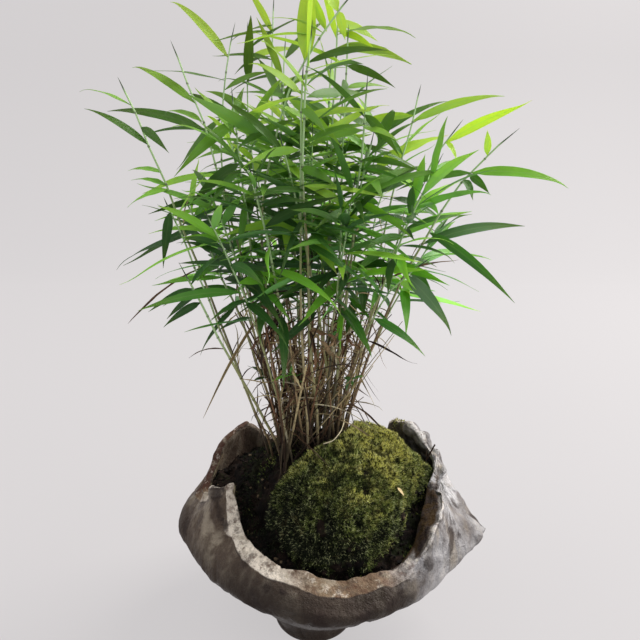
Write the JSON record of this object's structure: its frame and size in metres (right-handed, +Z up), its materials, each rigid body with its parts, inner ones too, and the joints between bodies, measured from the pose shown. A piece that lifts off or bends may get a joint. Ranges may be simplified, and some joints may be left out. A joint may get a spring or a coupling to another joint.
{
  "type": "potted dwarf bamboo grass",
  "caption": "Dwarf bamboo grass in a torn, hand-built stoneware bowl: a dense clump of thin leafy culms on a mossy mound of soil.",
  "frame": {"origin": "middle of the underside of the bowl's foot, on the surface that it stands on", "axes": "+Z up; -Y is the front, from which the moss and the low lip of the bowl show; +X is the side of the bowl's folded corner"},
  "size_m": [0.2427, 0.1881, 0.3881],
  "materials": {
    "stoneware": "satin",
    "earth": "matte",
    "moss": "matte",
    "leaf": "satin",
    "straw": "matte"
  },
  "bodies": {
    "root": {"bowl": "stoneware", "soil": "earth", "moss": "moss", "culm_01": "leaf", "culm_02": "leaf", "culm_03": "leaf", "culm_04": "leaf", "culm_05": "leaf", "culm_06": "leaf", "culm_07": "leaf", "culm_08": "leaf", "culm_09": "leaf", "culm_10": "leaf", "culm_11": "leaf", "culm_12": "leaf", "culm_13": "leaf", "culm_14": "leaf", "culm_15": "leaf", "culm_16": "leaf", "culm_17": "leaf", "culm_18": "leaf", "culm_19": "leaf", "culm_20": "leaf", "culm_21": "leaf", "culm_22": "leaf", "culm_23": "leaf", "culm_24": "leaf", "culm_25": "leaf", "culm_26": "leaf", "culm_27": "leaf", "culm_28": "leaf", "culm_29": "leaf", "culm_30": "leaf", "culm_31": "leaf", "culm_32": "leaf", "culm_33": "leaf", "culm_34": "leaf", "culm_35": "leaf", "culm_36": "leaf", "culm_37": "leaf", "culm_38": "leaf", "culm_39": "leaf", "culm_40": "leaf", "culm_41": "leaf", "culm_42": "leaf", "culm_43": "leaf", "tuft_01": "straw", "tuft_02": "straw", "tuft_03": "straw", "tuft_04": "straw", "tuft_05": "straw", "tuft_06": "straw", "tuft_07": "straw", "tuft_08": "straw", "tuft_09": "straw", "tuft_10": "straw", "tuft_11": "straw", "tuft_12": "straw"}
  },
  "joints": []
}
